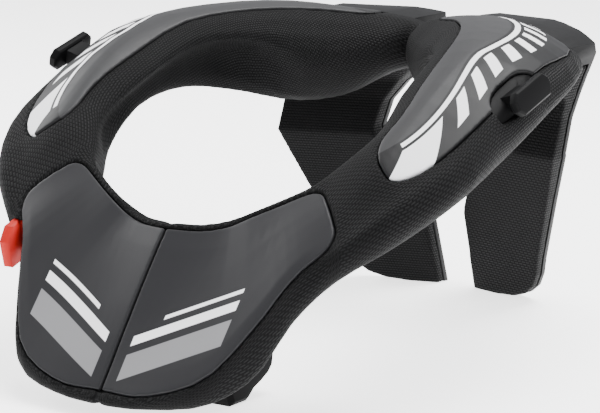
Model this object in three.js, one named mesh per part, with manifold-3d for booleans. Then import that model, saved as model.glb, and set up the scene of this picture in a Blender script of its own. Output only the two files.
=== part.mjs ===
// Motocross neck brace, youth size, standing on a table as it is stored.
// Millimetres. X to the right of someone facing its front, +Y to the back, +Z up.
// Origin: on the table, midway across, midway between the front hem and the fin tips.
import * as THREE from 'three';
import { mergeVertices } from 'three/addons/utils/BufferGeometryUtils.js';
import Module from 'manifold-3d';

const wasm = await Module();
wasm.setup();

// Driving dimensions
const halfWidth = 116;        // middle of the neck to the outside of the foam
const halfLength = 142;       // middle of the neck to the front hem, and to the fin tips
const collarHeight = 138;     // table to the crown of the arms
const armWidth = 50;          // one arm, across its foam
const plateThickness = 2.5;
const plateProud = 0.3;       // how far a plate stands out of its foam bed
const gap = 0.3;              // clearance between neighbouring pieces
const bedGap = 0.4;           // round the edges of a plate or hook base, in the foam
const seamGap = 1.2;          // the front closure, between the two halves
const finReach = 81;          // middle of the spine to a fin's outer shoulder
const finClearance = 9.5;     // middle of the spine to a fin's inner edge
const finWrap = 0.293;        // how far a fin comes forward for each millimetre outward
const shellThickness = 3;     // rigid back of a fin, behind its pad
const shellBlock = 18;        // height of the rigid block across a fin's top
const hookLength = 27;        // strap hook cap
const hookWidth = 10;
const hookThickness = 4;
const hookStandoff = 4;       // strap room, from the base to the cap
const hookBase = 4.5;         // bottom of the base plate, below the foam's surface
const hookRecess = 2;         // top of the base plate, below it too
const hookStem = 7;           // side of the square stem
const tabReach = 2.5;         // how far the release tab stands out of the foam
const tabDepth = 5.5;         // how deep it is housed
const tabTravel = 3;          // press stroke
const footShare = 0.2464;     // chest foot's working height, as a share of collarHeight
const footHeight = footShare * collarHeight;

// Sampling of the soft surfaces
const stationsPerHalf = 40;
const pointsAround = 26;

// The collar's inner seam, from the front closure round to the middle of the back.
// x, y, z are shares of halfWidth, halfLength and collarHeight. heading is the
// way the section faces in plan, in degrees from +X, so -90 is straight ahead.
const seamPath = [
  { name: 'closure', x: 0.00, y: -0.683, z: 0.489, heading: -90 },
  { name: 'breast', x: 0.12, y: -0.660, z: 0.489, heading: -82 },
  { name: 'lower_corner', x: 0.215, y: -0.632, z: 0.504, heading: -66 },
  { name: 'flank', x: 0.30, y: -0.613, z: 0.538, heading: -54 },
  { name: 'upper_flank', x: 0.405, y: -0.577, z: 0.580, heading: -48 },
  { name: 'plate_top', x: 0.508, y: -0.535, z: 0.627, heading: -42 },
  { name: 'bridge', x: 0.598, y: -0.458, z: 0.712, heading: -27 },
  { name: 'arm_root', x: 0.655, y: -0.338, z: 0.797, heading: -12 },
  { name: 'arm', x: 0.630, y: -0.155, z: 0.890, heading: 0 },
  { name: 'hook', x: 0.595, y: 0.056, z: 0.975, heading: 8 },
  { name: 'quarter', x: 0.500, y: 0.240, z: 1.000, heading: 22 },
  { name: 'rear_corner', x: 0.370, y: 0.400, z: 1.000, heading: 42 },
  { name: 'nape', x: 0.215, y: 0.540, z: 0.982, heading: 62 },
  { name: 'lobe', x: 0.060, y: 0.630, z: 0.955, heading: 82 },
  { name: 'middle', x: 0.000, y: 0.665, z: 0.935, heading: 90 },
];

// The section at each of those places, as shares of armWidth: out from the inner
// seam along the heading, and up from it. Over the plate to its outer seam, then
// down the outside and back up the neck side.
const sectionNames = ['ridge', 'outerSeam', 'crease', 'side', 'hem', 'under', 'flange', 'valley', 'roll'];
const sections = {
  closure: [
    [0.43, -0.54], [0.86, -1.13], [0.91, -1.18], [0.92, -1.23], [0.85, -1.26],
    [0.56, -1.18], [-0.02, -0.42], [-0.15, -0.08], [-0.06, 0.05],
  ],
  breast: [
    [0.46, -0.54], [0.95, -1.115], [0.98, -1.16], [0.975, -1.21], [0.90, -1.24],
    [0.62, -1.18], [0.00, -0.44], [-0.15, -0.08], [-0.06, 0.05],
  ],
  lower_corner: [
    [0.50, -0.49], [0.965, -0.985], [1.00, -1.06], [0.985, -1.145], [0.93, -1.21],
    [0.68, -1.19], [0.00, -0.48], [-0.14, -0.09], [-0.06, 0.05],
  ],
  flank: [
    [0.42, -0.35], [0.80, -0.70], [0.81, -0.77], [0.82, -0.94], [0.77, -1.11],
    [0.50, -1.06], [-0.04, -0.50], [-0.12, -0.11], [-0.05, 0.04],
  ],
  upper_flank: [
    [0.32, -0.20], [0.62, -0.44], [0.63, -0.54], [0.65, -0.67], [0.58, -0.81],
    [0.40, -0.78], [-0.06, -0.48], [-0.11, -0.12], [-0.05, 0.04],
  ],
  plate_top: [
    [0.26, -0.14], [0.52, -0.33], [0.60, -0.38], [0.625, -0.50], [0.55, -0.63],
    [0.32, -0.66], [-0.12, -0.44], [-0.14, -0.16], [-0.08, 0.03],
  ],
  bridge: [
    [0.24, -0.04], [0.50, -0.22], [0.67, -0.29], [0.705, -0.45], [0.60, -0.61],
    [0.28, -0.66], [-0.20, -0.46], [-0.19, -0.22], [-0.13, -0.04],
  ],
  arm_root: [
    [0.14, 0.02], [0.57, -0.17], [0.73, -0.24], [0.775, -0.43], [0.58, -0.62],
    [0.24, -0.64], [-0.20, -0.43], [-0.12, -0.29], [-0.18, -0.12],
  ],
  arm: [
    [0.22, 0.07], [0.72, -0.11], [0.80, -0.23], [0.845, -0.40], [0.76, -0.56],
    [0.32, -0.55], [-0.10, -0.40], [-0.08, -0.26], [-0.20, -0.13],
  ],
  hook: [
    [0.28, 0.04], [0.80, -0.13], [0.84, -0.32], [0.90, -0.42], [0.82, -0.55],
    [0.36, -0.56], [-0.08, -0.56], [-0.06, -0.31], [-0.20, -0.16],
  ],
  quarter: [
    [0.46, 0.01], [0.92, -0.19], [0.98, -0.27], [1.02, -0.37], [0.92, -0.49],
    [0.40, -0.62], [-0.06, -0.72], [-0.04, -0.34], [-0.26, -0.22],
  ],
  rear_corner: [
    [0.50, 0.00], [0.90, -0.20], [1.00, -0.26], [1.05, -0.37], [0.96, -0.48],
    [0.44, -0.68], [-0.08, -0.84], [-0.26, -0.60], [-0.34, -0.30],
  ],
  nape: [
    [0.28, 0.00], [0.54, -0.05], [0.60, -0.10], [0.62, -0.24], [0.56, -0.40],
    [0.24, -0.66], [-0.12, -0.74], [-0.30, -0.54], [-0.33, -0.28],
  ],
  lobe: [
    [0.16, 0.00], [0.32, -0.02], [0.36, -0.06], [0.38, -0.18], [0.34, -0.34],
    [0.12, -0.46], [-0.14, -0.44], [-0.26, -0.32], [-0.25, -0.14],
  ],
  middle: [
    [0.14, 0.00], [0.28, -0.02], [0.32, -0.06], [0.34, -0.18], [0.30, -0.32],
    [0.12, -0.38], [-0.02, -0.34], [-0.08, -0.22], [-0.06, -0.08],
  ],
};
const seamCount = sectionNames.length + 1;
const lastRow = seamPath.length - 1;
const rowOf = (name) => seamPath.findIndex((row) => row.name === name);

// One smooth line runs along the brace through each named point of its sections.
function sectionLine(k) {
  const points = seamPath.map((row) => {
    const turn = THREE.MathUtils.degToRad(row.heading);
    const [out, up] = k === 0 ? [0, 0] : sections[row.name][k - 1];
    const reach = out * armWidth;
    return new THREE.Vector3(
      row.x * halfWidth + reach * Math.cos(turn),
      row.y * halfLength + reach * Math.sin(turn),
      row.z * collarHeight + up * armWidth,
    );
  });
  return new THREE.CatmullRomCurve3(points, false, 'centripetal');
}
const sectionLines = Array.from({ length: seamCount }, (_, k) => sectionLine(k));

// The soft surface: u counts rows from the closure, v counts named points round the section.
function sectionLoop(u) {
  const along = THREE.MathUtils.clamp(u / lastRow, 0, 1);
  const points = sectionLines.map((line) => line.getPoint(along));
  return new THREE.CatmullRomCurve3(points, true, 'centripetal');
}
function surfacePoint(u, v) {
  return sectionLoop(u).getPoint((((v % seamCount) + seamCount) % seamCount) / seamCount);
}
function surfaceFrame(u, v) {
  const step = 0.02;
  const low = Math.max(u - step, 0);
  const high = Math.min(u + step, lastRow);
  const alongU = surfacePoint(high, v).sub(surfacePoint(low, v)).divideScalar(high - low);
  const alongV = surfacePoint(u, v + step).sub(surfacePoint(u, v - step)).divideScalar(2 * step);
  const normal = new THREE.Vector3().crossVectors(alongU, alongV).normalize().negate();
  return { normal, speedU: alongU.length(), speedV: alongV.length() };
}

// Solids
function solidFrom(positions, triangles) {
  const mesh = new wasm.Mesh({
    numProp: 3,
    vertProperties: Float32Array.from(positions),
    triVerts: Uint32Array.from(triangles),
  });
  return new wasm.Manifold(mesh);
}
function solidFromGeometry(geometry) {
  geometry.deleteAttribute('normal');
  geometry.deleteAttribute('uv');
  const merged = mergeVertices(geometry, 1e-4);
  return solidFrom(merged.attributes.position.array, merged.index.array);
}
function geometryFrom(solid) {
  const mesh = solid.getMesh();
  const geometry = new THREE.BufferGeometry();
  geometry.setAttribute('position', new THREE.Float32BufferAttribute(mesh.vertProperties, 3));
  geometry.setIndex(Array.from(mesh.triVerts));
  return geometry;
}
const mirrored = (solid) => solid.mirror([1, 0, 0]);

// A grid of rings that starts and ends on the middle plane, capped at both ends
function ringSolid(rings) {
  const count = rings[0].length;
  const positions = rings.flat().flatMap((p) => [p.x, p.y, p.z]);
  const triangles = [];
  for (let i = 0; i < rings.length - 1; i += 1) {
    for (let j = 0; j < count; j += 1) {
      const next = (j + 1) % count;
      const a = i * count + j;
      const b = i * count + next;
      triangles.push(a, b, a + count, b, b + count, a + count);
    }
  }
  [0, rings.length - 1].forEach((end) => {
    const contour = rings[end].map((p) => new THREE.Vector2(p.y, p.z));
    const first = end * count;
    THREE.ShapeUtils.triangulateShape(contour, []).forEach(([a, b, c]) => {
      triangles.push(first + a, first + c, first + b);
    });
  });
  return solidFrom(positions, triangles);
}

// The whole collar, one half and its mirror image, grown outward by some clearance
function collarSolid(grow) {
  const rings = [];
  for (let i = 0; i < stationsPerHalf; i += 1) {
    const u = (i / (stationsPerHalf - 1)) * lastRow;
    const ring = [];
    for (let j = 0; j < pointsAround; j += 1) {
      const v = (j / pointsAround) * seamCount;
      const point = surfacePoint(u, v);
      if (grow !== 0) {
        point.addScaledVector(surfaceFrame(u, v).normal, grow);
      }
      ring.push(point);
    }
    if (i === 0 || i === stationsPerHalf - 1) {
      ring.forEach((point) => { point.x = 0; });
    }
    rings.push(ring);
  }
  const half = ringSolid(rings);
  return half.add(mirrored(half));
}

// A curved slab that follows the soft surface between two rows of it
function surfaceSlab(patch, below, above, grow) {
  const { rows, across } = patch;
  const top = [];
  const bottom = [];
  for (let i = 0; i <= rows; i += 1) {
    const share = 0.5 - 0.5 * Math.cos((Math.PI * i) / rows);
    const middle = patch.from + (patch.to - patch.from) * share;
    const speed = surfaceFrame(middle, 1).speedU;
    const u = middle + ((2 * share - 1) * grow) / speed;
    const [low, high] = patch.limits(middle);
    for (let j = 0; j <= across; j += 1) {
      const spread = j / across;
      const vMiddle = low + (high - low) * spread;
      const speedV = surfaceFrame(middle, vMiddle).speedV;
      const v = vMiddle + ((2 * spread - 1) * grow) / speedV;
      const { normal } = surfaceFrame(middle, vMiddle);
      const point = surfacePoint(u, v);
      top.push(point.clone().addScaledVector(normal, above));
      bottom.push(point.addScaledVector(normal, -below));
    }
  }
  const count = across + 1;
  const offset = top.length;
  const positions = top.concat(bottom).flatMap((p) => [p.x, p.y, p.z]);
  const triangles = [];
  for (let i = 0; i < rows; i += 1) {
    for (let j = 0; j < across; j += 1) {
      const a = i * count + j;
      const b = a + count;
      triangles.push(a, a + 1, b, a + 1, b + 1, b);
      triangles.push(offset + a, offset + b, offset + a + 1, offset + a + 1, offset + b, offset + b + 1);
    }
  }
  const wall = (a, b) => triangles.push(a, a + offset, b, b, a + offset, b + offset);
  for (let j = 0; j < across; j += 1) {
    wall(j, j + 1);
    wall(rows * count + j + 1, rows * count + j);
  }
  for (let i = 0; i < rows; i += 1) {
    wall((i + 1) * count, i * count);
    wall(i * count + across, (i + 1) * count + across);
  }
  return solidFrom(positions, triangles);
}

// How far a plate's edges draw in near a rounded end, in section points
function roundEnd(u, end, run, depth) {
  const reach = THREE.MathUtils.clamp(1 - Math.abs(u - end) / run, 0, 1);
  return depth * (1 - Math.sqrt(1 - reach * reach));
}
const frontPatch = {
  rows: 22,
  across: 6,
  from: 0,
  to: rowOf('plate_top') + 0.05,
  limits(u) {
    const crown = roundEnd(u, this.to, 0.5, 0.45);
    return [crown, 2 - crown];
  },
};
const sidePatch = {
  rows: 23,
  across: 6,
  from: rowOf('bridge') + 0.13,
  to: rowOf('nape') + 0.45,
  limits(u) {
    const inner = roundEnd(u, this.from, 1.4, 1.3);
    const outer = roundEnd(u, this.from, 0.7, 0.5);
    const tail = roundEnd(u, this.to, 0.4, 0.35);
    const lean = 0.34 * THREE.MathUtils.clamp(1 - (u - this.from) / 2.6, 0, 1);
    return [Math.max(inner, lean) + tail, 2 - outer - tail];
  },
};
const hookPatch = {
  rows: 10,
  across: 4,
  from: rowOf('arm') - 0.12,
  to: rowOf('hook') - 0.22,
  limits(u) {
    const round = roundEnd(u, this.from, 0.3, 0.3) + roundEnd(u, this.to, 0.3, 0.3);
    return [1.75 + round, 3.1 - round];
  },
};
const plateBed = (patch) => surfaceSlab(patch, plateThickness + gap, 3 * plateThickness, bedGap);
const plate = (patch) => surfaceSlab(patch, plateThickness, plateProud, 0);

// Simple blocks
function boxSolid(sizeX, sizeY, sizeZ, x, y, z) {
  const geometry = new THREE.BoxGeometry(sizeX, sizeY, sizeZ);
  geometry.translate(x, y, z);
  return solidFromGeometry(geometry);
}
const closureSlot = boxSolid(seamGap, halfLength, 2 * collarHeight, 0, -halfLength, collarHeight / 2);

// A flat outline drawn on two axes and pushed along the third
function prism(points, plane, from, to) {
  const shape = new THREE.Shape(points.map(([a, b]) => new THREE.Vector2(a, b)));
  const geometry = new THREE.ExtrudeGeometry(shape, { depth: to - from, bevelEnabled: false });
  const axes = {
    yz: [[0, 1, 0], [0, 0, 1], [1, 0, 0]],
    zx: [[0, 0, 1], [1, 0, 0], [0, 1, 0]],
  }[plane].map((axis) => new THREE.Vector3(...axis));
  geometry.applyMatrix4(new THREE.Matrix4().makeBasis(...axes));
  geometry.translate(...axes[2].multiplyScalar(from).toArray());
  return geometry;
}

// Fins. Seen from the front each is an outline: x in shares of finReach, z in
// shares of collarHeight, from the inner tip round the outside to the spine.
const finOutline = [
  [0.30, 0.000], [0.44, 0.008], [0.53, 0.026], [0.60, 0.058],
  [0.645, 0.105], [0.677, 0.165], [0.827, 0.400], [0.914, 0.543],
  [0.915, 0.667], [0.950, 0.800], [0.975, 0.865], [0.965, 0.900], [0.860, 0.936], [0.700, 0.965],
  [0.280, 0.962], [0.118, 0.945], [0.105, 0.840], [0.140, 0.775], [0.270, 0.715], [0.340, 0.650],
  [0.360, 0.565], [0.300, 0.470], [0.200, 0.380], [0.135, 0.290],
];
// Seen from the side each is a profile: y in shares of halfLength, z as above.
const finFront = [[0.951, 0], [0.778, 0.543], [0.824, 0.660], [0.838, 0.725], [0.760, 0.800], [0.746, 0.975]];
const finBack = [
  [0.900, 0.966], [0.945, 0.972], [0.978, 0.955], [0.997, 0.920], [1.000, 0.870], [0.975, 0.812],
  [0.937, 0.739], [0.900, 0.652], [0.866, 0.551], [0.901, 0.391], [1.011, 0],
];
const finLimit = [[1.03, -0.02], [0.958, 0.725], [0.958, 1.02]];
const sideView = (rows) => rows.map(([y, z]) => [y * halfLength, z * collarHeight]);

// The same line, moved sideways by a distance, to the left of the way it runs
function besideLine(points, distance) {
  return points.map((point, i) => {
    const before = points[Math.max(i - 1, 0)];
    const after = points[Math.min(i + 1, points.length - 1)];
    const [a, b] = [after[0] - before[0], after[1] - before[1]];
    const length = Math.hypot(a, b);
    return [point[0] - (distance * b) / length, point[1] + (distance * a) / length];
  });
}
function finWedge(points) {
  const wide = 2 * halfWidth;
  const wrap = new THREE.Matrix4().set(1, 0, 0, 0, -finWrap, 1, 0, 0, 0, 0, 1, 0, 0, 0, 0, 1);
  return solidFromGeometry(prism(points, 'yz', -wide, wide).applyMatrix4(wrap));
}
// What lies in front of the fin's back face once that is set in by some thickness. Run on
// forward and down past the fin by a reach, it cuts the hollow of the rigid back.
function finCore(inset, reach) {
  const ceiling = 0.965 * collarHeight - shellBlock - (inset - shellThickness);
  const front = sideView(finFront);
  const back = besideLine(sideView(finBack), -inset);
  front[front.length - 1][1] -= inset;
  back[back.length - 1][1] = 0;
  const side = front.map(([y, z]) => [y - reach, z]).concat(back);
  if (reach > 0) {
    side.splice(front.length, 0, front[front.length - 1]);
    side.push([back[back.length - 1][0], -reach], [front[0][0] - reach, -reach]);
  }
  const limit = sideView(finLimit).map(([y, z]) => [y - inset, z]);
  const room = limit.concat([[0, 2 * collarHeight], [0, -collarHeight]]);
  const core = finWedge(side).intersect(solidFromGeometry(prism(room, 'yz', -1, halfWidth)));
  return inset > 0 ? core.trimByPlane([0, 0, -1], -ceiling) : core;
}
function finBody(inset) {
  const tip = [[finClearance, 0]];
  const outline = tip.concat(finOutline.map(([x, z]) => [x * finReach, z * collarHeight]));
  return finCore(inset, 0)
    .intersect(solidFromGeometry(prism(outline.map(([x, z]) => [z, x]), 'zx', 0, 2 * halfLength)));
}

// Chest feet, behind the front panel: y and z of the side view, in shares of halfLength
// and footHeight, pushed across from the inner to the outer share of halfWidth.
const footProfile = [
  [-0.735, 0.24], [-0.708, 0], [-0.630, 0], [-0.600, 0.10], [-0.562, 0.16], [-0.528, 0.23],
  [-0.506, 0.33], [-0.500, 0.47], [-0.512, 0.66], [-0.560, 0.95], [-0.620, 1.25], [-0.770, 1.25],
  [-0.790, 0.65],
];
const footInner = 0.12;
const footOuter = 0.305;
const footBevel = 2;
function footSolid() {
  const outline = footProfile.map(([y, z]) => new THREE.Vector2(y * halfLength, z * footHeight));
  const shape = new THREE.Shape(outline);
  const depth = (footOuter - footInner) * halfWidth - 2 * footBevel;
  const bevel = {
    bevelThickness: footBevel, bevelSize: footBevel, bevelOffset: -footBevel, bevelSegments: 1,
  };
  const geometry = new THREE.ExtrudeGeometry(shape, { depth, ...bevel });
  geometry.applyMatrix4(new THREE.Matrix4().makeBasis(
    new THREE.Vector3(0, 1, 0),
    new THREE.Vector3(0, 0, 1),
    new THREE.Vector3(1, 0, 0),
  ));
  geometry.translate(footInner * halfWidth + footBevel, 0, 0);
  return solidFromGeometry(geometry);
}

// Strap hook: a base sunk in the foam, a stem, and a long eight-sided cap
const hookPlace = { u: rowOf('arm') + 0.32, v: 2.42 };
function hookSolid() {
  const { normal } = surfaceFrame(hookPlace.u, hookPlace.v);
  const along = surfacePoint(hookPlace.u + 0.3, hookPlace.v)
    .sub(surfacePoint(hookPlace.u - 0.3, hookPlace.v)).normalize();
  const sideways = new THREE.Vector3().crossVectors(normal, along);
  const seat = surfacePoint(hookPlace.u, hookPlace.v);
  const stand = new THREE.Matrix4().makeBasis(along, sideways, normal).setPosition(seat);
  const corner = hookWidth * 0.3;
  const [x, y] = [hookLength / 2, hookWidth / 2];
  const shape = new THREE.Shape([
    [-x, -y + corner], [-x + corner, -y], [x - corner, -y], [x, -y + corner],
    [x, y - corner], [x - corner, y], [-x + corner, y], [-x, y - corner],
  ].map(([a, b]) => new THREE.Vector2(a, b)));
  const chamfer = 0.8;
  const bevel = { bevelThickness: chamfer, bevelSize: chamfer, bevelOffset: -chamfer, bevelSegments: 1 };
  const cap = new THREE.ExtrudeGeometry(shape, { depth: hookThickness - 2 * chamfer, ...bevel });
  cap.translate(0, 0, hookStandoff + chamfer).applyMatrix4(stand);
  const stem = new THREE.BoxGeometry(hookStem * 1.6, hookStem, hookStandoff + hookBase + 1);
  stem.translate(0, 0, (hookStandoff - hookBase) / 2 + 0.5).applyMatrix4(stand);
  const base = surfaceSlab(hookPatch, hookBase, -hookRecess, 0);
  return base.add(solidFromGeometry(cap)).add(solidFromGeometry(stem));
}
const hookBed = surfaceSlab(hookPatch, hookBase + gap, 3 * plateThickness, bedGap);

// Release tab, on the wearer's right: an outline seen from the side, y in shares of
// halfLength and z in shares of collarHeight
const tabOutline = [[-0.683, 0.457], [-0.732, 0.440], [-0.756, 0.395], [-0.738, 0.317], [-0.683, 0.337]];
const tabFoot = 0.605;
function tabPrism(grow, from, to) {
  const points = sideView(tabOutline);
  const centre = points.reduce(([y, z], p) => [y + p[0] / points.length, z + p[1] / points.length], [0, 0]);
  const grown = points.map(([y, z]) => {
    const away = Math.hypot(y - centre[0], z - centre[1]);
    return [y + (grow * (y - centre[0])) / away, z + (grow * (z - centre[1])) / away];
  });
  return solidFromGeometry(prism(grown, 'yz', from, to));
}

const materials = {
  foam: new THREE.MeshStandardMaterial({ color: 0x2a2a2c, roughness: 0.9, metalness: 0 }),
  plate: new THREE.MeshStandardMaterial({ color: 0x3a3a3e, roughness: 0.45, metalness: 0 }),
  rubber: new THREE.MeshStandardMaterial({ color: 0x141416, roughness: 0.35, metalness: 0 }),
  red: new THREE.MeshStandardMaterial({ color: 0xc83a32, roughness: 0.4, metalness: 0 }),
};

// Everything is made on the +X side and mirrored, except the one release tab
const hook = hookSolid();
const frontPlate = plate(frontPatch).subtract(closureSlot);
const sidePlate = plate(sidePatch).subtract(hookBed);
const beds = plateBed(frontPatch).add(plateBed(sidePatch)).add(hookBed);
const clearOfCollar = collarSolid(gap);
const besideArm = clearOfCollar.add(plateBed(sidePatch));
const finPad = finBody(shellThickness + gap).subtract(besideArm);
const finShell = finBody(0)
  .subtract(finCore(shellThickness, 10))
  .subtract(besideArm);
const foot = footSolid().subtract(clearOfCollar);

const tabInner = -tabFoot * halfWidth;
const tabOuter = tabInner - tabDepth - tabReach;
const plateRoom = mirrored(plateBed(frontPatch));
const tabStops = [0, 0.5, 1].map((share) => -share * (tabTravel + gap));
const tab = tabStops.reduce(
  (solid, shift) => solid.subtract(plateRoom.translate([shift, 0, 0])),
  tabPrism(0, tabOuter, tabInner),
);
const tabHouse = tabPrism(2 * gap, 2 * tabOuter, tabInner + tabTravel + gap);

const collar = collarSolid(0)
  .subtract(closureSlot)
  .subtract(beds)
  .subtract(mirrored(beds))
  .subtract(tabHouse);

// The frame's origin lies midway between the front hem and the backs of the fins
const midway = (collar.boundingBox().min[1] + finShell.boundingBox().max[1]) / 2;
const brace = new THREE.Group();
function addPiece(name, solid, material) {
  const geometry = geometryFrom(solid.translate([0, -midway, 0]));
  const mesh = new THREE.Mesh(geometry, material);
  mesh.name = name;
  brace.add(mesh);
}
addPiece('foam_collar', collar, materials.foam);
[['right', (solid) => solid], ['left', mirrored]].forEach(([side, place]) => {
  addPiece(`front_plate_${side}`, place(frontPlate), materials.plate);
  addPiece(`side_plate_${side}`, place(sidePlate), materials.plate);
  addPiece(`fin_pad_${side}`, place(finPad), materials.foam);
  addPiece(`fin_shell_${side}`, place(finShell), materials.plate);
  addPiece(`chest_foot_${side}`, place(foot), materials.rubber);
  addPiece(`strap_hook_${side}`, place(hook), materials.rubber);
});
addPiece('release_tab', tab, materials.red);

export default brace;
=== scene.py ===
# %% [markdown]
# # A motocross neck brace, dressed over its frame
#
# A neck brace of this kind is a soft foam ring that a rider wears round the neck. Smooth rigid
# plates are let into its front and its two arms, and two fins reach down the back.
#
# The frame holds every size and every moving part, so the first cell loads it.
# Blender then adds what the frame leaves out: soft edges, the foam's texture, the plastic's sheen
# and the printed design.

import math

import bmesh
import bpy
import numpy as np
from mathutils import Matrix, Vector


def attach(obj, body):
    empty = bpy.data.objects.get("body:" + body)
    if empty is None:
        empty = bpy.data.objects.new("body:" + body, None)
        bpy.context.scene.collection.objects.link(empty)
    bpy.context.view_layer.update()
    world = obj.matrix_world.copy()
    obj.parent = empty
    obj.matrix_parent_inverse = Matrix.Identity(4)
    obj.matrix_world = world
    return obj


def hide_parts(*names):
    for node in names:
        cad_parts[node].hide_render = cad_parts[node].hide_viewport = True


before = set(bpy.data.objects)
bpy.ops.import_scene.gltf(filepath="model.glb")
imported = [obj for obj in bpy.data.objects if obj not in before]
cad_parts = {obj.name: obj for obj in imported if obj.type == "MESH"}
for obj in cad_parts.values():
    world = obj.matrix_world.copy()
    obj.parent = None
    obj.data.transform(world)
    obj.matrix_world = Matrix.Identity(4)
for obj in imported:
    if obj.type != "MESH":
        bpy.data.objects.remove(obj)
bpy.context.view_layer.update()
MM = 0.001

# %% [markdown]
# ## A mesh that can be softened
#
# A CAD solid is a handful of large flat triangles with hard corners. Moulded foam and plastic have
# none. A voxel remesh wraps the solid in small even squares, and a smoothing pass then rounds
# every edge by about the size of those squares, as a mould does. The same form could be drawn by
# hand and subdivided, but starting from the frame's own solid keeps every size as it is.

# %% Copy, remesh and smooth
WELD = 0.005 * MM
SMOOTH_SHARE = 0.5


def mesh_object(name, mesh):
    obj = bpy.data.objects.new(name, mesh)
    bpy.context.scene.collection.objects.link(obj)
    return obj


def copy_of(node, name):
    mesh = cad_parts[node].data.copy()
    mesh.materials.clear()
    bm = bmesh.new()
    bm.from_mesh(mesh)
    bmesh.ops.remove_doubles(bm, verts=bm.verts, dist=WELD)
    bmesh.ops.recalc_face_normals(bm, faces=bm.faces)
    for face in bm.faces:
        face.smooth = False
    bm.to_mesh(mesh)
    bm.free()
    return mesh_object(name, mesh)


def remesh(obj, voxel):
    bpy.context.view_layer.objects.active = obj
    obj.data.remesh_voxel_size = voxel
    obj.data.remesh_voxel_adaptivity = 0.0
    with bpy.context.temp_override(object=obj, active_object=obj):
        bpy.ops.object.voxel_remesh()


def smooth(obj, steps):
    bm = bmesh.new()
    bm.from_mesh(obj.data)
    for _ in range(steps):
        bmesh.ops.smooth_vert(
            bm, verts=bm.verts, factor=SMOOTH_SHARE,
            use_axis_x=True, use_axis_y=True, use_axis_z=True,
        )
    for face in bm.faces:
        face.smooth = True
    bm.to_mesh(obj.data)
    bm.free()


def soft_copy(node, name, voxel, steps):
    obj = copy_of(node, name)
    remesh(obj, voxel)
    smooth(obj, steps)
    print(name, len(obj.data.polygons), "faces")
    return obj


# %% [markdown]
# ## A crisp small part
#
# The hooks, the feet, the tab and the rigid backs of the fins are hard mouldings with flat facets.
# They keep their CAD shape, and only their sharp edges get a narrow bevel, so each edge catches a
# thin line of light. Triangles that lie in one plane are joined first, because a bevel follows
# whole edges better than broken ones.

# %% Bevel the sharp edges
SAME_PLANE = math.radians(1.5)
SHADE_ANGLE = math.radians(40)


def crisp_copy(node, name, width, angle, segments=3):
    obj = copy_of(node, name)
    bm = bmesh.new()
    bm.from_mesh(obj.data)
    bmesh.ops.dissolve_limit(
        bm, angle_limit=SAME_PLANE, verts=bm.verts, edges=bm.edges, delimit=set()
    )
    limit = math.radians(angle)
    sharp = [e for e in bm.edges if len(e.link_faces) == 2 and e.calc_face_angle() > limit]
    bmesh.ops.bevel(
        bm, geom=sharp, offset=width, offset_type="OFFSET", segments=segments, profile=0.5,
        affect="EDGES", clamp_overlap=True, material=-1,
    )
    for face in bm.faces:
        face.smooth = True
    bm.to_mesh(obj.data)
    bm.free()
    obj.data.set_sharp_from_angle(angle=SHADE_ANGLE)
    print(name, len(obj.data.polygons), "faces")
    return obj


# %% [markdown]
# ## Shader helpers
#
# A material is a small graph of nodes. These helpers add a node, set its inputs and join it to
# others, so that each material below reads as a short list.

# %% Node helpers
def put(nodes, kind, inputs=None, **settings):
    node = nodes.new(kind)
    for name, value in settings.items():
        setattr(node, name, value)
    for name, value in (inputs or {}).items():
        node.inputs[name].default_value = value
    return node


def calc(tree, operation, a, b=None, c=None):
    node = tree.nodes.new("ShaderNodeMath")
    node.operation = operation
    for socket, value in zip(node.inputs, (a, b, c)):
        if value is None:
            continue
        if isinstance(value, (int, float)):
            socket.default_value = value
        else:
            tree.links.new(value, socket)
    return node.outputs[0]


def new_group(name, inputs, outputs):
    tree = bpy.data.node_groups.new(name, "ShaderNodeTree")
    for label, kind, value in inputs:
        socket = tree.interface.new_socket(name=label, in_out="INPUT", socket_type=kind)
        if value is not None:
            socket.default_value = value
    for label, kind in outputs:
        tree.interface.new_socket(name=label, in_out="OUTPUT", socket_type=kind)
    return tree, tree.nodes.new("NodeGroupInput"), tree.nodes.new("NodeGroupOutput")


# %% [markdown]
# ## Where a point lies on the ring
#
# The foam's cells and the printed stripes run round the neck. So a pattern needs two coordinates:
# the way round the ring, and the way down its side. The angle about the middle gives the first.
# Distance outward less height gives the second, and it grows steadily from the neck edge, over the
# top and down the outside.

# %% Group: ring coordinates
def ring_coordinates():
    tree, start, end = new_group(
        "RingCoordinates",
        [("Position", "NodeSocketVector", None), ("Radius", "NodeSocketFloat", 0.09)],
        [("Round", "NodeSocketFloat"), ("Down", "NodeSocketFloat")],
    )
    split = tree.nodes.new("ShaderNodeSeparateXYZ")
    tree.links.new(start.outputs["Position"], split.inputs[0])
    x, y, z = split.outputs
    angle = calc(tree, "ARCTAN2", x, calc(tree, "MULTIPLY", y, -1.0))
    tree.links.new(calc(tree, "MULTIPLY", angle, start.outputs["Radius"]), end.inputs["Round"])
    square = calc(tree, "ADD", calc(tree, "MULTIPLY", x, x), calc(tree, "MULTIPLY", y, y))
    tree.links.new(calc(tree, "SUBTRACT", calc(tree, "SQRT", square), z), end.inputs["Down"])
    return tree


RING = ring_coordinates()
print("group", RING.name)

# %% [markdown]
# ## Rows that run along the foam
#
# The foam's cells lie in rows that follow the ring. A pattern can only follow a curved form if the
# form is unrolled flat, which is what a UV map is. These helpers read a mesh's points, say which
# point and which face each corner belongs to, and write the finished map.

# %% Read the points and write a map
RING_RADIUS = 92 * MM
SLICES, SPOKES = 180, 72


def set_uv(obj, u, v):
    layer = obj.data.uv_layers.new(name="weave")
    layer.data.foreach_set("uv", np.stack([u, v], 1).astype(np.float32).ravel())
    obj.data.uv_layers.active = layer


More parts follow.
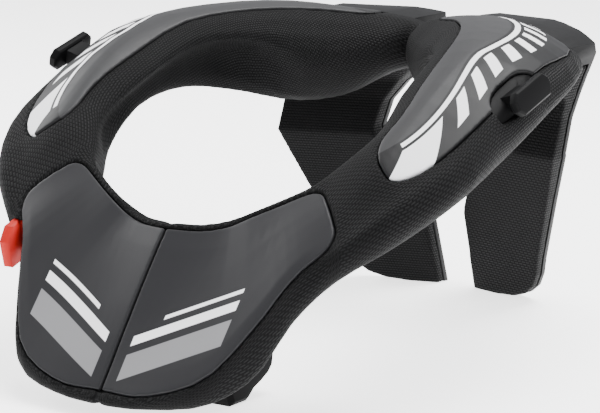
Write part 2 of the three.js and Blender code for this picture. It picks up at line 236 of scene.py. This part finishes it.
def points_and_corners(obj):
    mesh = obj.data
    points = np.empty(len(mesh.vertices) * 3)
    mesh.vertices.foreach_get("co", points)
    corners = np.empty(len(mesh.loops), dtype=int)
    mesh.loops.foreach_get("vertex_index", corners)
    sizes = np.empty(len(mesh.polygons), dtype=int)
    mesh.polygons.foreach_get("loop_total", sizes)
    return points.reshape(-1, 3), corners, np.repeat(np.arange(len(sizes)), sizes)


def centres(count):
    return (np.arange(count) + 0.5) / count * 2 * np.pi - np.pi


def place_in(angle, count):
    return (angle + np.pi) / (2 * np.pi) * count


# %% [markdown]
# The ring is cut like a cake into thin slices, and each slice shows a section of the foam. Seen
# from its middle, the section's outline is measured in many directions, like the spokes of a
# wheel. The steps from spoke to spoke then add up to the length round the section.

# %% Measure the sections
def section_middles(which, out, up):
    return np.array([
        [(part.min() + part.max()) / 2 for part in (out[which == k], up[which == k])]
        for k in range(SLICES)
    ])


def section_lengths(which, side, away):
    spoke = place_in(side, SPOKES).astype(int) % SPOKES
    cell = which * SPOKES + spoke
    count = np.bincount(cell, minlength=SLICES * SPOKES)
    total = np.bincount(cell, weights=away, minlength=SLICES * SPOKES)
    reach = (total / np.maximum(count, 1)).reshape(SLICES, SPOKES)
    found = count.reshape(SLICES, SPOKES) > 0
    ways = centres(SPOKES)
    for k in range(SLICES):
        reach[k] = np.interp(ways, ways[found[k]], reach[k][found[k]], period=2 * np.pi)
    ring_x, ring_y = reach * np.sin(ways), reach * np.cos(ways)
    steps = np.hypot(np.diff(ring_x, append=ring_x[:, :1]), np.diff(ring_y, append=ring_y[:, :1]))
    length = np.cumsum(steps, axis=1) - steps
    return length - length[:, SPOKES // 2][:, None], steps.sum(axis=1)


# %% [markdown]
# The map's first number is how far a point is along the ring. Its second is how far it is round
# the section, starting from the top. Both are read between the nearest slices and spokes, so the
# rows run smoothly. The cut between the two ends of the map runs along the bottom, where nobody
# looks, and a face that crosses the cut gets a whole lap more on one side of it.

# %% Unroll a ring into a UV map
def whole_and_rest(place):
    return np.floor(place).astype(int), place - np.floor(place)


def past_the_cut(angle, faces):
    high = np.zeros(faces[-1] + 1)
    low = np.zeros(faces[-1] + 1)
    np.maximum.at(high, faces, angle)
    np.minimum.at(low, faces, angle)
    return ((high - low)[faces] > np.pi) & (angle < 0)


def ring_uv(obj):
    points, corners, faces = points_and_corners(obj)
    turn = np.arctan2(points[:, 0], -points[:, 1])
    out, up = np.hypot(points[:, 0], points[:, 1]), points[:, 2]
    which = place_in(turn, SLICES).astype(int) % SLICES
    middles = section_middles(which, out, up).T
    near = [np.interp(turn, centres(SLICES), middle, period=2 * np.pi) for middle in middles]
    side = np.arctan2(out - near[0], up - near[1])
    length, around = section_lengths(which, side, np.hypot(out - near[0], up - near[1]))
    k0, kf = whole_and_rest(place_in(turn, SLICES) - 0.5)
    j0, jf = whole_and_rest(place_in(side, SPOKES) - 0.5)

    def read(row, column):
        laps = np.floor_divide(column, SPOKES)
        return length[row % SLICES, column % SPOKES] + laps * around[row % SLICES]

    v = (1 - kf) * ((1 - jf) * read(k0, j0) + jf * read(k0, j0 + 1))
    v += kf * ((1 - jf) * read(k0 + 1, j0) + jf * read(k0 + 1, j0 + 1))
    lap = (1 - kf) * around[k0 % SLICES] + kf * around[(k0 + 1) % SLICES]
    corner_turn, corner_side = turn[corners], side[corners]
    u = corner_turn + 2 * np.pi * past_the_cut(corner_turn, faces)
    set_uv(obj, u * RING_RADIUS, v[corners] + lap[corners] * past_the_cut(corner_side, faces))


# %% [markdown]
# The fins are flat-sided blocks. Each face takes its map straight from the front, or from above if
# it faces up, and the sides carry on round the corner from the front.

# %% Map a block
FACES_UP = 0.72


def block_uv(obj):
    points, corners, faces = points_and_corners(obj)
    normals = np.empty(len(obj.data.polygons) * 3)
    obj.data.polygons.foreach_get("normal", normals)
    flat = (np.abs(normals.reshape(-1, 3)[:, 2]) > FACES_UP)[faces]
    x, y, z = points[corners].T
    set_uv(obj, np.where(flat, x, x + y), np.where(flat, y, z))


# %% [markdown]
# ## Textured foam
#
# The foam's skin is pressed with a fine pattern of small domed cells in offset rows, like scales.
# Each cell is 1.8 mm long. A brick pattern gives the rows, and its soft mortar lines become the
# valleys between the cells. The tops are painted lighter than the valleys, as a painted highlight
# on each cell and painted shade between them, and a broad noise makes some patches lighter, as
# handling does. So many small cells are a bump, not real geometry.

# %% Group: foam cells
CELL_LENGTH, CELL_HEIGHT = 1.8 * MM, 1.25 * MM
VALLEY_SHARE = 0.42
VALLEY_ROUGHNESS, TOP_ROUGHNESS = 0.78, 0.6
PATCH_DARK, PATCH_LIGHT = 0.75, 1.25


def foam_cells():
    tree, start, end = new_group(
        "FoamCells",
        [
            ("Map", "NodeSocketVector", None),
            ("Cell Length", "NodeSocketFloat", CELL_LENGTH),
            ("Cell Height", "NodeSocketFloat", CELL_HEIGHT),
            ("Shaded Valley", "NodeSocketColor", (0.01, 0.01, 0.01, 1)),
            ("Top", "NodeSocketColor", (0.05, 0.05, 0.05, 1)),
            ("Position", "NodeSocketVector", None),
        ],
        [
            ("Color", "NodeSocketColor"), ("Roughness", "NodeSocketFloat"),
            ("Height", "NodeSocketFloat"),
        ],
    )
    brick = put(tree.nodes, "ShaderNodeTexBrick", {
        "Scale": 1.0, "Mortar Smooth": 1.0, "Bias": 0.0,
    }, offset=0.5)
    tree.links.new(start.outputs["Map"], brick.inputs["Vector"])
    tree.links.new(start.outputs["Cell Length"], brick.inputs["Brick Width"])
    tree.links.new(start.outputs["Cell Height"], brick.inputs["Row Height"])
    valley = calc(tree, "MULTIPLY", start.outputs["Cell Height"], VALLEY_SHARE)
    tree.links.new(valley, brick.inputs["Mortar Size"])
    height = calc(tree, "SUBTRACT", 1.0, brick.outputs["Fac"])
    patch = put(tree.nodes, "ShaderNodeTexNoise", {"Scale": 60.0, "Detail": 3.0, "Roughness": 0.6})
    tree.links.new(start.outputs["Position"], patch.inputs["Vector"])
    # Painted light: the cell tops take the lighter colour as a painted highlight, the valleys the
    # darker one as painted shade.
    mix = put(tree.nodes, "ShaderNodeMix", data_type="RGBA")
    tree.links.new(height, mix.inputs["Factor"])
    tree.links.new(start.outputs["Shaded Valley"], mix.inputs["A"])
    tree.links.new(start.outputs["Top"], mix.inputs["B"])
    bright = put(tree.nodes, "ShaderNodeHueSaturation")
    tree.links.new(mix.outputs["Result"], bright.inputs["Color"])
    value = calc(tree, "MULTIPLY_ADD", patch.outputs["Fac"], PATCH_LIGHT - PATCH_DARK, PATCH_DARK)
    tree.links.new(value, bright.inputs["Value"])
    tree.links.new(bright.outputs[0], end.inputs["Color"])
    rise = TOP_ROUGHNESS - VALLEY_ROUGHNESS
    rough = calc(tree, "MULTIPLY_ADD", height, rise, VALLEY_ROUGHNESS)
    tree.links.new(rough, end.inputs["Roughness"])
    tree.links.new(height, end.inputs["Height"])
    return tree


CELLS = foam_cells()
print("group", CELLS.name)

# %% [markdown]
# ## The foam material
#
# The collar and the fin pads are one foam. Each piece has a map of its own under the same name, so
# one material serves them all. Foam is nearly black and hardly shines, so its specular level is low.

# %% Foam materials
FOAM_SHINE = 0.09
FOAM_DEPTH = 0.3 * MM


def base_material(name, roughness, color=(0.05, 0.05, 0.05, 1)):
    material = bpy.data.materials.new(name)
    material.use_nodes = True
    nodes = material.node_tree.nodes
    shader = nodes["Principled BSDF"]
    shader.inputs["Roughness"].default_value = roughness
    shader.inputs["Base Color"].default_value = color
    place = nodes.new("ShaderNodeTexCoord")
    return material, material.node_tree, shader, place.outputs["Object"]


def use_group(tree, group, links):
    node = tree.nodes.new("ShaderNodeGroup")
    node.node_tree = group
    for name, value in links.items():
        if isinstance(value, (int, float, tuple)):
            node.inputs[name].default_value = value
        else:
            tree.links.new(value, node.inputs[name])
    return node


def foam_material(name, valley, top):
    material, tree, shader, place = base_material(name, 0.7)
    flat_map = put(tree.nodes, "ShaderNodeUVMap", uv_map="weave")
    cells = use_group(tree, CELLS, {
        "Map": flat_map.outputs[0], "Shaded Valley": valley, "Top": top, "Position": place,
    })
    tree.links.new(cells.outputs["Color"], shader.inputs["Base Color"])
    tree.links.new(cells.outputs["Roughness"], shader.inputs["Roughness"])
    shader.inputs["Specular IOR Level"].default_value = FOAM_SHINE
    bump = put(tree.nodes, "ShaderNodeBump", {"Strength": 0.7, "Distance": FOAM_DEPTH})
    tree.links.new(cells.outputs["Height"], bump.inputs["Height"])
    tree.links.new(bump.outputs[0], shader.inputs["Normal"])
    return material


# The darker colour is painted shade for the valleys, the lighter one a painted highlight for the cell
# tops.
FOAM = foam_material("textured_foam", (0.0016, 0.0016, 0.0017, 1), (0.0085, 0.0085, 0.0088, 1))
print("material", FOAM.name)

# %% [markdown]
# ## Printed stripes
#
# The plates carry a printed design. This one is plain geometry of our own: a chevron across the
# chest and slanted bars along the arms. Each stripe is a test of whether a coordinate lies
# between two values, with a slightly soft step so that its edge doesn't look cut with a knife.

# %% Group: one stripe
def stripe_group():
    tree, start, end = new_group(
        "Stripe",
        [
            ("Value", "NodeSocketFloat", 0.0), ("From", "NodeSocketFloat", 0.0),
            ("To", "NodeSocketFloat", 1.0), ("Soft", "NodeSocketFloat", 0.0002),
        ],
        [("Mask", "NodeSocketFloat")],
    )
    rise = put(tree.nodes, "ShaderNodeMapRange", interpolation_type="SMOOTHSTEP")
    fall = put(tree.nodes, "ShaderNodeMapRange", interpolation_type="SMOOTHSTEP")
    for node, edge in ((rise, "From"), (fall, "To")):
        tree.links.new(start.outputs["Value"], node.inputs["Value"])
        tree.links.new(start.outputs[edge], node.inputs["From Min"])
        past = calc(tree, "ADD", start.outputs[edge], start.outputs["Soft"])
        tree.links.new(past, node.inputs["From Max"])
    inside = calc(tree, "MULTIPLY", rise.outputs[0], calc(tree, "SUBTRACT", 1.0, fall.outputs[0]))
    tree.links.new(inside, end.inputs["Mask"])
    return tree


STRIPE = stripe_group()
print("group", STRIPE.name)


def stripe(tree, value, low, high, soft):
    inputs = {"Value": value, "From": low, "To": high, "Soft": soft}
    return use_group(tree, STRIPE, inputs).outputs["Mask"]


def span(tree, value, limits, soft=0.3):
    return stripe(tree, value, limits[0] * MM, limits[1] * MM, soft * MM)


# %% [markdown]
# ## Satin plastic
#
# The plates are moulded plastic with a fine even grain: satin, with small soft highlights. The
# grain is a noise far finer than anything else, used as a very shallow bump. A broad second noise
# varies the roughness a little, so a highlight never looks perfectly even.

# %% Group: moulded grain
GRAIN_SCALE = 2200.0
GRAIN_DEPTH = 0.1 * MM
ROUGHNESS_SPREAD = 0.16


def grain_group():
    tree, start, end = new_group(
        "MouldedGrain",
        [
            ("Position", "NodeSocketVector", None), ("Roughness", "NodeSocketFloat", 0.45),
            ("Grain Scale", "NodeSocketFloat", GRAIN_SCALE),
        ],
        [("Roughness", "NodeSocketFloat"), ("Height", "NodeSocketFloat")],
    )
    fine = put(tree.nodes, "ShaderNodeTexNoise", {"Detail": 2.0, "Roughness": 0.6})
    tree.links.new(start.outputs["Position"], fine.inputs["Vector"])
    tree.links.new(start.outputs["Grain Scale"], fine.inputs["Scale"])
    wide = put(tree.nodes, "ShaderNodeTexNoise", {"Scale": 45.0, "Detail": 4.0, "Roughness": 0.65})
    tree.links.new(start.outputs["Position"], wide.inputs["Vector"])
    spread = calc(tree, "MULTIPLY_ADD", wide.outputs["Fac"], ROUGHNESS_SPREAD, -ROUGHNESS_SPREAD / 2)
    rough = calc(tree, "ADD", start.outputs["Roughness"], spread)
    tree.links.new(rough, end.inputs["Roughness"])
    tree.links.new(fine.outputs["Fac"], end.inputs["Height"])
    return tree


GRAIN = grain_group()
print("group", GRAIN.name)
WHITE = (0.92, 0.92, 0.93, 1)
GREY = (0.2, 0.2, 0.205, 1)
# Painted light: a lighter grey for the inner band of the arm and fin plates, standing in for the
# light their upward-sloping inner bevel catches.
PAINTED_BEVEL_LIGHT = (0.034, 0.034, 0.035, 1)


def layer(tree, below, mask, color):
    mix = put(tree.nodes, "ShaderNodeMix", data_type="RGBA")
    tree.links.new(mask, mix.inputs["Factor"])
    if isinstance(below, tuple):
        mix.inputs["A"].default_value = below
    else:
        tree.links.new(below, mix.inputs["A"])
    mix.inputs["B"].default_value = color
    return mix.outputs["Result"]


def moulded(name, roughness, color, shine, grain=0.12, scale=GRAIN_SCALE, paint=None):
    material, tree, shader, place = base_material(name, roughness, color)
    shader.inputs["Specular IOR Level"].default_value = shine
    finish = use_group(tree, GRAIN, {
        "Position": place, "Roughness": roughness, "Grain Scale": scale,
    })
    tree.links.new(finish.outputs["Roughness"], shader.inputs["Roughness"])
    bump = put(tree.nodes, "ShaderNodeBump", {"Strength": grain, "Distance": GRAIN_DEPTH})
    tree.links.new(finish.outputs["Height"], bump.inputs["Height"])
    tree.links.new(bump.outputs[0], shader.inputs["Normal"])
    if paint:
        tree.links.new(paint(tree, place, color), shader.inputs["Base Color"])
    return material


# %% [markdown]
# ### The chest chevron
#
# Height less a share of the distance from the middle is constant along a slanted line, and the
# same on both sides, so bands of it make a chevron.

# %% Chevron on the front plates
CHEST_SLOPE = -0.42
CHEST_EDGE = 47
# In mm: where a stripe begins and ends going up, and how far from the middle it starts
CHEST_STRIPES = {
    "band": (12, 21, 6),
    "line": (24, 27.5, 6),
    "bar": (30, 31.5, 16),
}


def chevron(tree, place, color):
    split = tree.nodes.new("ShaderNodeSeparateXYZ")
    tree.links.new(place, split.inputs[0])
    aside = calc(tree, "ABSOLUTE", split.outputs[0])
    level = calc(tree, "MULTIPLY_ADD", aside, CHEST_SLOPE, split.outputs[2])
    masks = {}
    for name, (low, high, inner) in CHEST_STRIPES.items():
        reach = span(tree, aside, (inner, CHEST_EDGE))
        masks[name] = calc(tree, "MULTIPLY", span(tree, level, (low, high)), reach)
    white = calc(tree, "MAXIMUM", masks["line"], masks["bar"])
    return layer(tree, layer(tree, color, masks["band"], GREY), white, WHITE)


# %% [markdown]
# ### Bars on the arms
#
# On an arm the bars slant across the way round the ring. A fraction of the slanted distance repeats
# every bar, and two more stripes keep the bars to the outer half of the plate. The arm drops as it
# comes forward, so a smooth drop is taken off the way down, and the design stays on the arm. The
# inner band, which slopes up towards the neck, is painted a lighter grey: painted light for the
# light that slope catches.

# %% Bars on the side plates
ARM_SLOPE = 0.55
BAR_PITCH = 13 * MM
BAR_SHARE = (0.12, 0.6, 0.03)
# In mm, from and to: along the arm, across it, or along the slanted distance
DROP_ALONG, DROP_DEPTH = (76, 150), 52
LADDER_ACROSS, LADDER_SLANT = (-43, -30), (90, 206)
LINE_ACROSS, LINE_ALONG = (-48, -45), (90, 240)
TIP_ACROSS, TIP_SLANT = (-43, -20), (66, 84)
INNER_ACROSS, INNER_SOFT = (-120, -50), 0.8


def bars(tree, place, color):
    ring = use_group(tree, RING, {"Position": place, "Radius": RING_RADIUS})
    along = calc(tree, "ABSOLUTE", ring.outputs["Round"])
    drop = put(tree.nodes, "ShaderNodeMapRange", {
        "From Min": DROP_ALONG[0] * MM, "From Max": DROP_ALONG[1] * MM,
        "To Min": DROP_DEPTH * MM, "To Max": 0.0,
    }, interpolation_type="SMOOTHSTEP")
    tree.links.new(along, drop.inputs["Value"])
    down = calc(tree, "SUBTRACT", ring.outputs["Down"], drop.outputs[0])
    slant = calc(tree, "MULTIPLY_ADD", down, ARM_SLOPE, along)
    share = calc(tree, "FRACT", calc(tree, "DIVIDE", slant, BAR_PITCH))
    steps = calc(tree, "MULTIPLY", stripe(tree, share, *BAR_SHARE), span(tree, down, LADDER_ACROSS))
    ladder = calc(tree, "MULTIPLY", steps, span(tree, slant, LADDER_SLANT))
    line = calc(tree, "MULTIPLY", span(tree, down, LINE_ACROSS), span(tree, along, LINE_ALONG))
    tip = calc(tree, "MULTIPLY", span(tree, slant, TIP_SLANT), span(tree, down, TIP_ACROSS))
    white = calc(tree, "MAXIMUM", calc(tree, "MAXIMUM", ladder, line), tip)
    # Painted light: the inner band of the plate, where it slopes up towards the neck, is painted a
    # lighter grey for the light that slope catches.
    inner = span(tree, down, INNER_ACROSS, INNER_SOFT)
    return layer(tree, layer(tree, color, inner, PAINTED_BEVEL_LIGHT), white, WHITE)


# %% [markdown]
# ### One material for each kind of plastic
#
# All but the red tab are dark, so what the eye reads is mostly the shine: satin on the plates,
# hardly any on the feet and hooks. The base colours look very dark as numbers because the studio
# light is strong.

# %% Plastic and rubber materials
FRONT = moulded(
    "front_plastic", 0.5, (0.017, 0.017, 0.0185, 1), shine=0.16, grain=0.3, paint=chevron
)
SIDE = moulded("side_plastic", 0.48, (0.011, 0.011, 0.0115, 1), shine=0.15, paint=bars)
SHELL = moulded("shell_plastic", 0.5, (0.006, 0.006, 0.0063, 1), shine=0.12, paint=bars)
RUBBER = moulded(
    "black_rubber", 0.6, (0.0012, 0.0012, 0.0013, 1), shine=0.05, grain=0.08, scale=900.0
)
HOOK = moulded("hook_plastic", 0.5, (0.005, 0.005, 0.0052, 1), shine=0.05)
RED = moulded("red_plastic", 0.5, (0.42, 0.016, 0.012, 1), shine=0.12)
print("materials", [m.name for m in (FRONT, SIDE, SHELL, RUBBER, HOOK, RED)])


# %% [markdown]
# ## Dress the pieces
#
# Every piece below stands for one node of the frame and rides on its body.
#
# The collar comes first. Its squares are small, so that the closure at the front, a slot only
# 1.2 mm wide, stays open when the foam is softened.

# %% Foam collar
def finish_piece(obj, material, nodes, body="brace"):
    obj.data.materials.append(material)
    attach(obj, body)
    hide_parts(*nodes)


collar = soft_copy("foam_collar", "collar_foam_skin", voxel=1.05 * MM, steps=8)
ring_uv(collar)
finish_piece(collar, FOAM, ["foam_collar"])

# %% [markdown]
# ### The pairs
#
# The plates are remeshed finely, because their rounded rims and the thin dark gap round them are
# what make them look let into the foam. The fin pads are foam again, on a map of their own. The
# other pieces are hard, so they keep their facets and get a bevel.

# %% Plates, fins, feet and hooks on both sides
for side in ("right", "left"):
    front = soft_copy(f"front_plate_{side}", f"front_panel_{side}", voxel=0.5 * MM, steps=12)
    finish_piece(front, FRONT, [f"front_plate_{side}"])
    arm = soft_copy(f"side_plate_{side}", f"arm_panel_{side}", voxel=0.55 * MM, steps=12)
    finish_piece(arm, SIDE, [f"side_plate_{side}"])
    pad = soft_copy(f"fin_pad_{side}", f"back_fin_pad_{side}", voxel=0.9 * MM, steps=8)
    block_uv(pad)
    finish_piece(pad, FOAM, [f"fin_pad_{side}"])
    shell = crisp_copy(f"fin_shell_{side}", f"back_fin_shell_{side}", width=0.6 * MM, angle=28)
    finish_piece(shell, SHELL, [f"fin_shell_{side}"])
    foot = crisp_copy(f"chest_foot_{side}", f"chest_foot_rubber_{side}", width=1.2 * MM, angle=25)
    finish_piece(foot, RUBBER, [f"chest_foot_{side}"])
    hook = crisp_copy(f"strap_hook_{side}", f"strap_hook_moulding_{side}", width=0.35 * MM, angle=30)
    finish_piece(hook, HOOK, [f"strap_hook_{side}"])

# %% [markdown]
# ### The release tab
#
# The red tab presses 3 mm into a pocket in the foam. Softening the foam has rounded the corners of
# that pocket, so the hidden end of the tab is cut back by a little more than the stroke. It then
# has room to move, and a filled face closes the cut.

# %% Release tab
TAB_ROOM = 3.2 * MM


def cut_back(obj, depth):
    bm = bmesh.new()
    bm.from_mesh(obj.data)
    inner = max(vert.co.x for vert in bm.verts)
    bmesh.ops.bisect_plane(
        bm, geom=bm.verts[:] + bm.edges[:] + bm.faces[:], plane_co=(inner - depth, 0.0, 0.0),
        plane_no=(1.0, 0.0, 0.0), clear_outer=True,
    )
    bmesh.ops.holes_fill(bm, edges=[e for e in bm.edges if len(e.link_faces) == 1])
    bm.to_mesh(obj.data)
    bm.free()


tab = crisp_copy("release_tab", "release_tab_moulding", width=0.7 * MM, angle=25)
cut_back(tab, TAB_ROOM)
print("tab depth", round(tab.dimensions.x / MM, 2), "mm")
finish_piece(tab, RED, ["release_tab"], body="release")

# %% [markdown]
# ## Floor, light and camera
#
# A dark product is photographed on a pale floor, under large soft lamps. The floor also glows, so
# that it stays pale while the lamps are weak enough to leave the foam dark.

# %% Floor
FLOOR_HALF = 6.0
FLOOR_GLOW = 2.2


def floor_plane():
    bm = bmesh.new()
    bmesh.ops.create_grid(bm, x_segments=1, y_segments=1, size=FLOOR_HALF)
    mesh = bpy.data.meshes.new("floor")
    bm.to_mesh(mesh)
    bm.free()
    floor = mesh_object("floor", mesh)
    material = bpy.data.materials.new("floor_white")
    material.use_nodes = True
    shader = material.node_tree.nodes["Principled BSDF"]
    shader.inputs["Base Color"].default_value = (0.95, 0.95, 0.95, 1)
    shader.inputs["Roughness"].default_value = 0.9
    shader.inputs["Emission Color"].default_value = (1.0, 1.0, 1.0, 1)
    shader.inputs["Emission Strength"].default_value = FLOOR_GLOW
    mesh.materials.append(material)
    return floor


print("floor", floor_plane().name)

# %% [markdown]
# ### Lamps
#
# The key lamp is high and behind, so the tops of the arms catch it and the front stays dark. A weak
# fill opens the near side, and a rim lamp draws the far edge. A lamp's place is two angles and a
# distance from the middle of the part, and the camera below is placed in the same way.

# %% Lights and world
TARGET = Vector((0.0, 0.0, 60.6 * MM))
WORLD_STRENGTH = 0.7


def direction(azimuth, elevation):
    turn, tilt = math.radians(azimuth), math.radians(elevation)
    return Vector((math.sin(turn) * math.cos(tilt), -math.cos(turn) * math.cos(tilt), math.sin(tilt)))


def face_target(obj, azimuth, elevation, distance):
    away = direction(azimuth, elevation)
    obj.location = TARGET + distance * away
    obj.rotation_euler = away.to_track_quat("Z", "Y").to_euler()


def soft_light(name, azimuth, elevation, distance, size, power):
    lamp = bpy.data.lights.new(name, "AREA")
    lamp.shape = "DISK"
    lamp.size = size
    lamp.energy = power
    obj = bpy.data.objects.new(name, lamp)
    bpy.context.scene.collection.objects.link(obj)
    face_target(obj, azimuth, elevation, distance)
    print("lamp", name, power, "W")


soft_light("key_above", azimuth=150, elevation=72, distance=1.3, size=1.1, power=42)
soft_light("fill_front", azimuth=70, elevation=35, distance=1.6, size=1.0, power=10)
soft_light("rim_left", azimuth=-95, elevation=30, distance=1.4, size=0.7, power=14)
world = bpy.data.worlds.new("studio")
world.use_nodes = True
background = world.node_tree.nodes["Background"]
background.inputs["Color"].default_value = (0.95, 0.96, 1.0, 1)
background.inputs["Strength"].default_value = WORLD_STRENGTH
bpy.context.scene.world = world

# %% [markdown]
# ### Camera
#
# The camera is far away with a long lens, which flattens the perspective. It looks slightly down at
# the front, from a little to the right.

# %% Camera
AZIMUTH, ELEVATION, DISTANCE = 34.0, 11.25, 1075 * MM
LENS, SENSOR_WIDTH = 150.0, 36.0
camera_data = bpy.data.cameras.new("photo_camera")
camera_data.lens = LENS
camera_data.sensor_width = SENSOR_WIDTH
camera_data.sensor_fit = "HORIZONTAL"
camera = bpy.data.objects.new("photo_camera", camera_data)
bpy.context.scene.collection.objects.link(camera)
face_target(camera, AZIMUTH, ELEVATION, DISTANCE)
bpy.context.scene.camera = camera
print("camera at", [round(v, 3) for v in camera.location])
